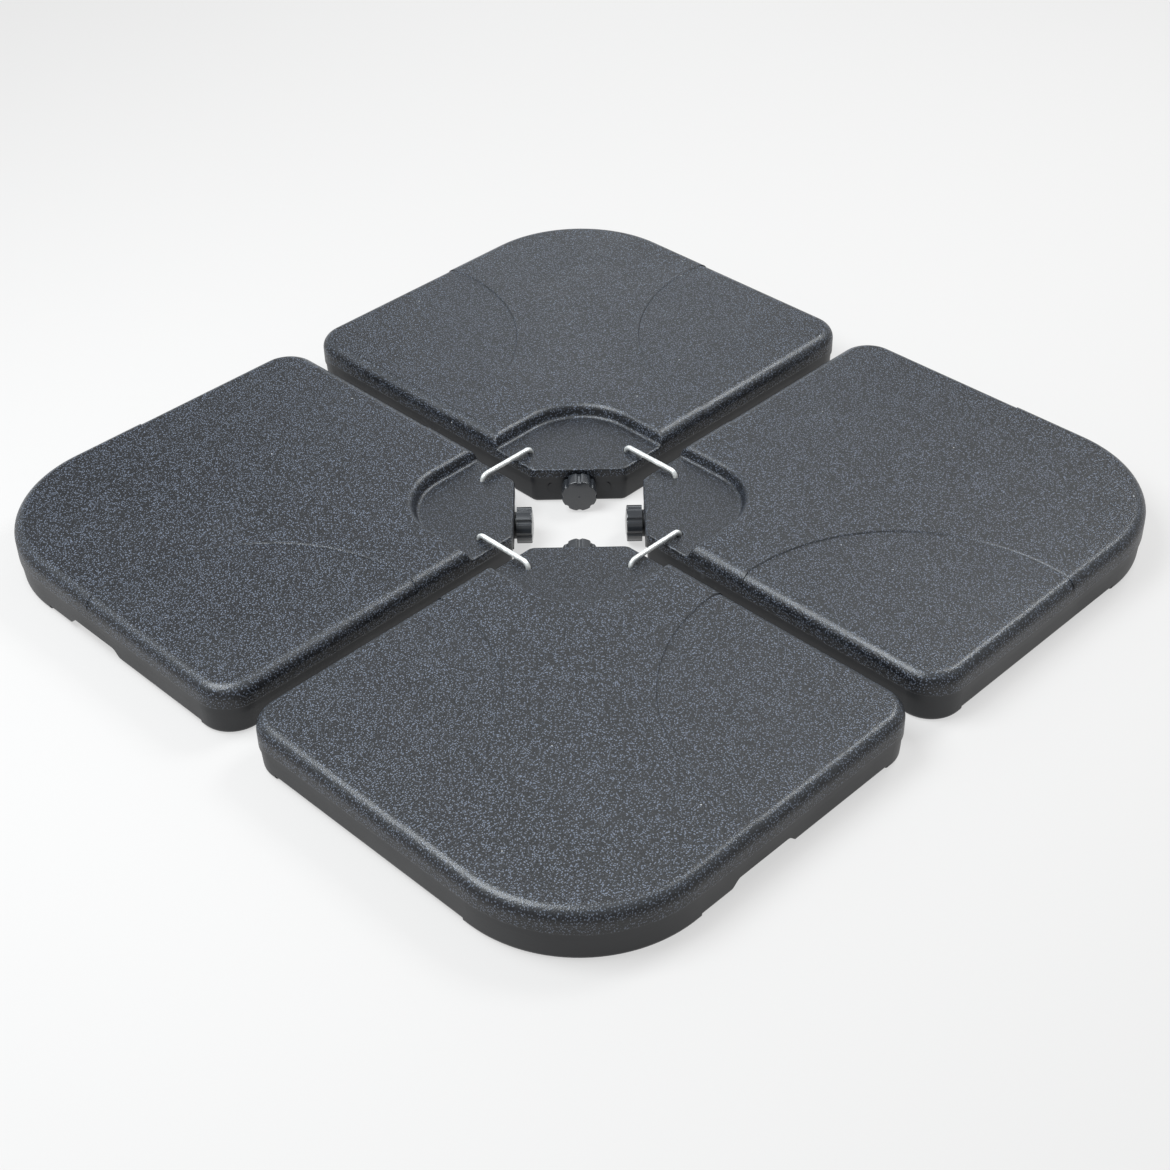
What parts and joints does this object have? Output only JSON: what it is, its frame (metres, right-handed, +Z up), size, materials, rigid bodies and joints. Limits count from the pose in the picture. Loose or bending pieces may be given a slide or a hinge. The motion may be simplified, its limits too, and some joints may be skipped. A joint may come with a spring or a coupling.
{
  "type": "parasol base",
  "caption": "Ballast set for a cantilever parasol's cross foot: square sand-filled plates with screw caps, linked by wire clips over the gaps.",
  "frame": {"origin": "on the floor, at the centre of the set, where the two gaps cross", "axes": "+Z up; +X and +Y along the two gaps; the front plate is in the +X -Y quadrant"},
  "size_m": [1.03, 1.03, 0.065],
  "materials": {
    "plate_plastic": "matte",
    "cap_plastic": "satin",
    "seal_rubber": "matte",
    "clip_wire": "satin",
    "sand": "matte"
  },
  "bodies": {
    "plates": {"plate_front": "plate_plastic", "plate_right": "plate_plastic", "plate_back": "plate_plastic", "plate_left": "plate_plastic", "sand_fill_front": "sand", "sand_fill_right": "sand", "sand_fill_back": "sand", "sand_fill_left": "sand"},
    "seal_front": {"cap_seal_front": "seal_rubber"},
    "cap_front": {"cap_front": "cap_plastic"},
    "seal_right": {"cap_seal_right": "seal_rubber"},
    "cap_right": {"cap_right": "cap_plastic"},
    "seal_back": {"cap_seal_back": "seal_rubber"},
    "cap_back": {"cap_back": "cap_plastic"},
    "seal_left": {"cap_seal_left": "seal_rubber"},
    "cap_left": {"cap_left": "cap_plastic"},
    "clip_front_left": {"clip_front_left": "clip_wire"},
    "clip_front_right": {"clip_front_right": "clip_wire"},
    "clip_back_right": {"clip_back_right": "clip_wire"},
    "clip_back_left": {"clip_back_left": "clip_wire"}
  },
  "joints": [
    {"name": "cap_travel_front", "type": "slide", "parent": "plates", "child": "seal_front", "axis": [-0.7071, 0.7071, 0], "range_m": [0, 0.0126]},
    {"name": "cap_turn_front", "type": "hinge", "parent": "seal_front", "child": "cap_front", "pos_m": [0.04419, -0.04419, 0.024], "axis": [-0.7071, 0.7071, 0], "range_deg": [0, 900]},
    {"name": "cap_travel_right", "type": "slide", "parent": "plates", "child": "seal_right", "axis": [-0.7071, -0.7071, 0], "range_m": [0, 0.0126]},
    {"name": "cap_turn_right", "type": "hinge", "parent": "seal_right", "child": "cap_right", "pos_m": [0.04419, 0.04419, 0.024], "axis": [-0.7071, -0.7071, 0], "range_deg": [0, 900]},
    {"name": "cap_travel_back", "type": "slide", "parent": "plates", "child": "seal_back", "axis": [0.7071, -0.7071, 0], "range_m": [0, 0.0126]},
    {"name": "cap_turn_back", "type": "hinge", "parent": "seal_back", "child": "cap_back", "pos_m": [-0.04419, 0.04419, 0.024], "axis": [0.7071, -0.7071, 0], "range_deg": [0, 900]},
    {"name": "cap_travel_left", "type": "slide", "parent": "plates", "child": "seal_left", "axis": [0.7071, 0.7071, 0], "range_m": [0, 0.0126]},
    {"name": "cap_turn_left", "type": "hinge", "parent": "seal_left", "child": "cap_left", "pos_m": [-0.04419, -0.04419, 0.024], "axis": [0.7071, 0.7071, 0], "range_deg": [0, 900]},
    {"name": "clip_lift_front_left", "type": "slide", "parent": "plates", "child": "clip_front_left", "axis": [0, 0, 1], "range_m": [0, 0.028]},
    {"name": "clip_lift_front_right", "type": "slide", "parent": "plates", "child": "clip_front_right", "axis": [0, 0, 1], "range_m": [0, 0.028]},
    {"name": "clip_lift_back_right", "type": "slide", "parent": "plates", "child": "clip_back_right", "axis": [0, 0, 1], "range_m": [0, 0.028]},
    {"name": "clip_lift_back_left", "type": "slide", "parent": "plates", "child": "clip_back_left", "axis": [0, 0, 1], "range_m": [0, 0.028]}
  ],
  "couplings": [
    {"joint": "cap_travel_front", "follows": "cap_turn_front", "m_per_rad": 0.00079577},
    {"joint": "cap_travel_right", "follows": "cap_turn_right", "m_per_rad": 0.00079577},
    {"joint": "cap_travel_back", "follows": "cap_turn_back", "m_per_rad": 0.00079577},
    {"joint": "cap_travel_left", "follows": "cap_turn_left", "m_per_rad": 0.00079577}
  ]
}
